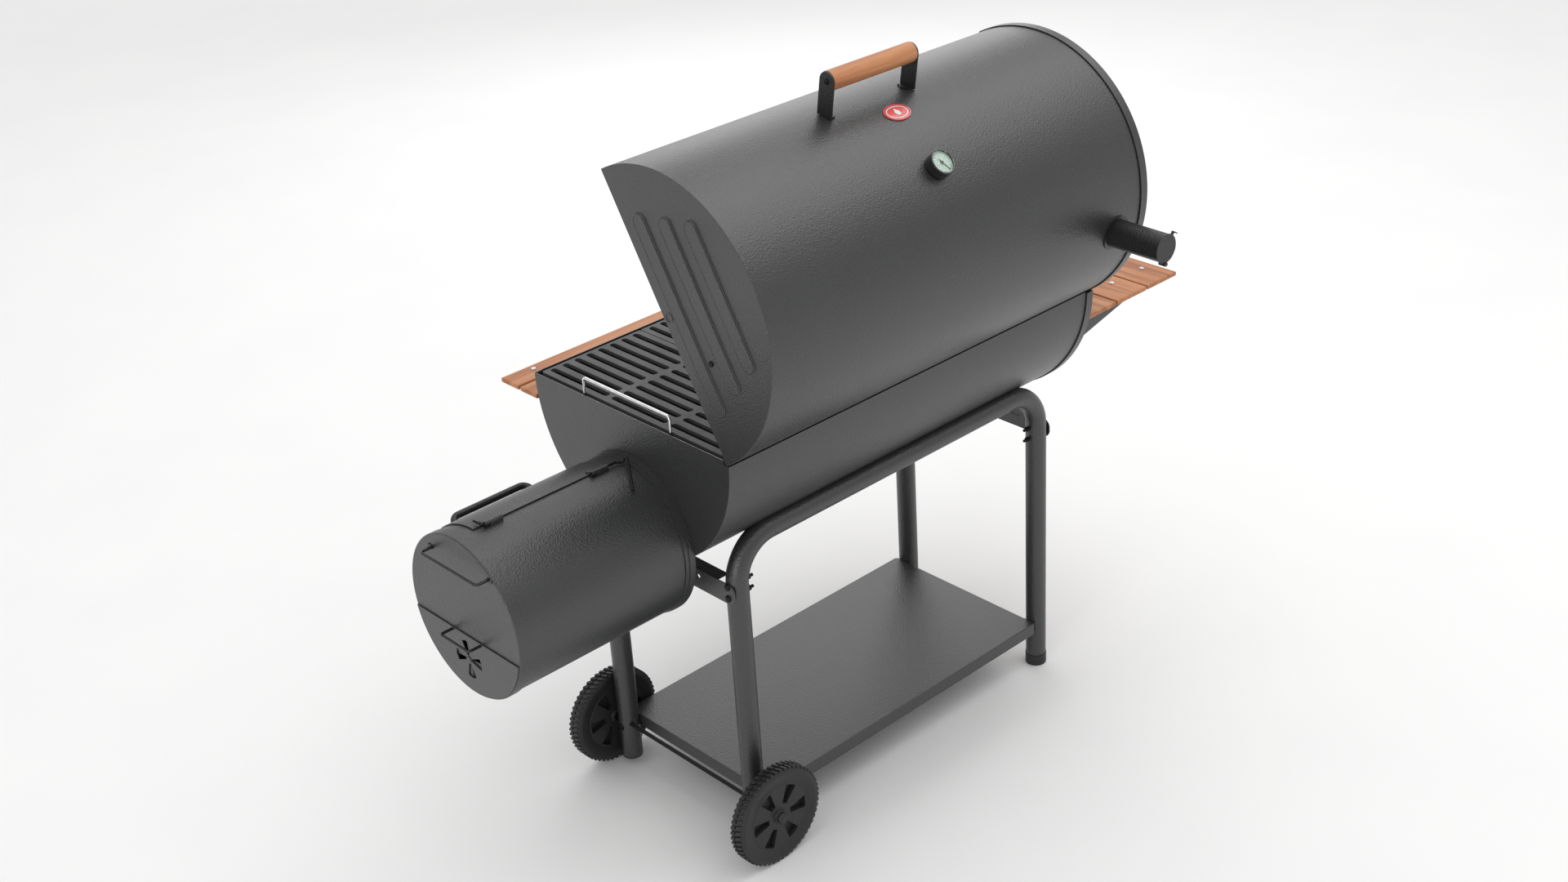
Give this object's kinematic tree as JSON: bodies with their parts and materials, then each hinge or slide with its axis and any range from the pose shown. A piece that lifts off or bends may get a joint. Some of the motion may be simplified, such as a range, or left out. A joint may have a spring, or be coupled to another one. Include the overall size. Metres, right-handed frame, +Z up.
{
  "type": "barrel charcoal grill with offset firebox",
  "caption": "Horizontal barrel charcoal grill with a hinged lid and smokestack, a round side firebox with an ash drawer, slatted wooden shelves and a wheeled tube cart.",
  "frame": {"origin": "middle of the bounding box of the whole model as stored, with the lid open, on the floor it stands on", "axes": "+X to the firebox end along the barrel, -Y to the front where the cook stands, +Z up"},
  "size_m": [1.6065, 0.8644, 1.399],
  "materials": {
    "painted_steel": "satin charcoal-grey heat-proof paint with a fine texture",
    "cast_iron": "matt grey",
    "chrome_wire": "polished",
    "bright_steel": "zinc plated",
    "dark_steel": "blackened",
    "badge_enamel": "red enamel with a pale metal rim",
    "oiled_wood": "oiled hardwood, orange-brown",
    "black_plastic": "moulded, matt",
    "dial_black": "gloss black",
    "dial_white": "pale greenish white",
    "clear_glass": "clear"
  },
  "bodies": {
    "cart_and_barrel": {"rear_u_frame": "painted_steel", "front_u_frame": "painted_steel", "firebox_end_brace": "painted_steel", "shelf_end_brace": "painted_steel", "cart_bolts": "dark_steel", "leg_end_caps": "black_plastic", "bottom_shelf": "painted_steel", "axle_rod": "dark_steel", "axle_spacers": "dark_steel", "axle_caps": "black_plastic", "barrel_shell": "painted_steel", "barrel_near_cap": "painted_steel", "barrel_far_cap": "painted_steel", "grate_rails": "painted_steel", "hinge_ears": "painted_steel", "hinge_pins": "bright_steel", "firebox_shell": "painted_steel", "firebox_back_plate": "painted_steel", "firebox_end_cap": "painted_steel", "firebox_grab_handle": "painted_steel", "firebox_hinge_knuckles": "painted_steel", "firebox_hinge_pin_inner": "dark_steel", "front_shelf_slats": "oiled_wood", "front_shelf_brackets": "painted_steel", "side_shelf_slats": "oiled_wood", "side_shelf_brackets": "painted_steel", "shelf_bolts": "bright_steel"},
    "barrel_lid": {"lid_shell": "painted_steel", "lid_near_cap": "painted_steel", "lid_far_cap": "painted_steel", "lid_hinge_ears": "painted_steel", "lid_handle_brackets": "painted_steel", "lid_handle_grip": "oiled_wood", "lid_screws": "dark_steel", "lid_badge": "badge_enamel", "smokestack_tube": "painted_steel", "damper_rivet": "painted_steel", "thermometer_housing": "dial_black", "thermometer_dial": "dial_white", "thermometer_lens": "clear_glass", "thermometer_stem": "bright_steel"},
    "stack_damper": {"smokestack_damper": "painted_steel"},
    "dial_needle": {"thermometer_needle": "dial_black"},
    "grate_1": {"cooking_grate_1": "cast_iron"},
    "grate_2": {"cooking_grate_2": "cast_iron"},
    "grate_3": {"cooking_grate_3": "cast_iron"},
    "grate_4": {"cooking_grate_4": "cast_iron"},
    "coal_tray": {"charcoal_tray": "painted_steel", "tray_lift_handles": "chrome_wire"},
    "side_lid": {"firebox_lid": "painted_steel", "firebox_lid_handle": "painted_steel", "firebox_hinge_pin_outer": "dark_steel"},
    "ash_drawer": {"ash_drawer_front": "painted_steel", "ash_drawer_pan": "painted_steel", "ash_drawer_handle": "painted_steel", "draught_vent_rivet": "painted_steel"},
    "vent_disc": {"draught_vent_disc": "painted_steel"},
    "fire_grate_body": {"fire_grate": "cast_iron"},
    "front_cart_wheel": {"front_wheel": "black_plastic"},
    "rear_cart_wheel": {"rear_wheel": "black_plastic"}
  },
  "joints": [
    {"name": "lid_hinge", "type": "hinge", "parent": "cart_and_barrel", "child": "barrel_lid", "pos_m": [-0.05125, 0.18848, 0.8485], "axis": [1, 0, 0], "range_deg": [0, 60.45]},
    {"name": "stack_damper_swivel", "type": "hinge", "parent": "barrel_lid", "child": "stack_damper", "pos_m": [-0.44225, 0.4229, 0.97783], "axis": [0, 0.9999, -0.0122], "range_deg": [0, 100]},
    {"name": "thermometer_needle_turn", "type": "hinge", "parent": "barrel_lid", "child": "dial_needle", "pos_m": [-0.04725, 0.26467, 1.24707], "axis": [0, 0.7461, 0.6659], "range_deg": [-240, 30]},
    {"name": "cooking_grate_1_lift", "type": "slide", "parent": "cart_and_barrel", "child": "grate_1", "axis": [0, 0, 1], "range_m": [0, 0.03]},
    {"name": "cooking_grate_2_lift", "type": "slide", "parent": "cart_and_barrel", "child": "grate_2", "axis": [0, 0, 1], "range_m": [0, 0.03]},
    {"name": "cooking_grate_3_lift", "type": "slide", "parent": "cart_and_barrel", "child": "grate_3", "axis": [0, 0, 1], "range_m": [0, 0.03]},
    {"name": "cooking_grate_4_lift", "type": "slide", "parent": "cart_and_barrel", "child": "grate_4", "axis": [0, 0, 1], "range_m": [0, 0.03]},
    {"name": "charcoal_tray_lift", "type": "slide", "parent": "cart_and_barrel", "child": "coal_tray", "axis": [0, 0, 1], "range_m": [0, 0.06]},
    {"name": "firebox_lid_hinge", "type": "hinge", "parent": "cart_and_barrel", "child": "side_lid", "pos_m": [-0.05125, -0.05622, 0.7762], "axis": [-1, 0, 0], "range_deg": [0, 130]},
    {"name": "ash_drawer_slide", "type": "slide", "parent": "cart_and_barrel", "child": "ash_drawer", "axis": [1, 0, 0], "range_m": [0, 0.28]},
    {"name": "draught_vent_turn", "type": "hinge", "parent": "ash_drawer", "child": "vent_disc", "pos_m": [0.77375, -0.06422, 0.539], "axis": [1, 0, 0], "range_deg": [-20, 25]},
    {"name": "fire_grate_lift", "type": "slide", "parent": "cart_and_barrel", "child": "fire_grate_body", "axis": [0, 0, 1], "range_m": [0, 0.025]},
    {"name": "front_wheel_spin", "type": "hinge", "parent": "cart_and_barrel", "child": "front_cart_wheel", "pos_m": [0.34475, -0.28272, 0.0985], "axis": [0, 1, 0], "continuous": true},
    {"name": "rear_wheel_spin", "type": "hinge", "parent": "cart_and_barrel", "child": "rear_cart_wheel", "pos_m": [0.34475, 0.18358, 0.0985], "axis": [0, 1, 0], "continuous": true}
  ]
}
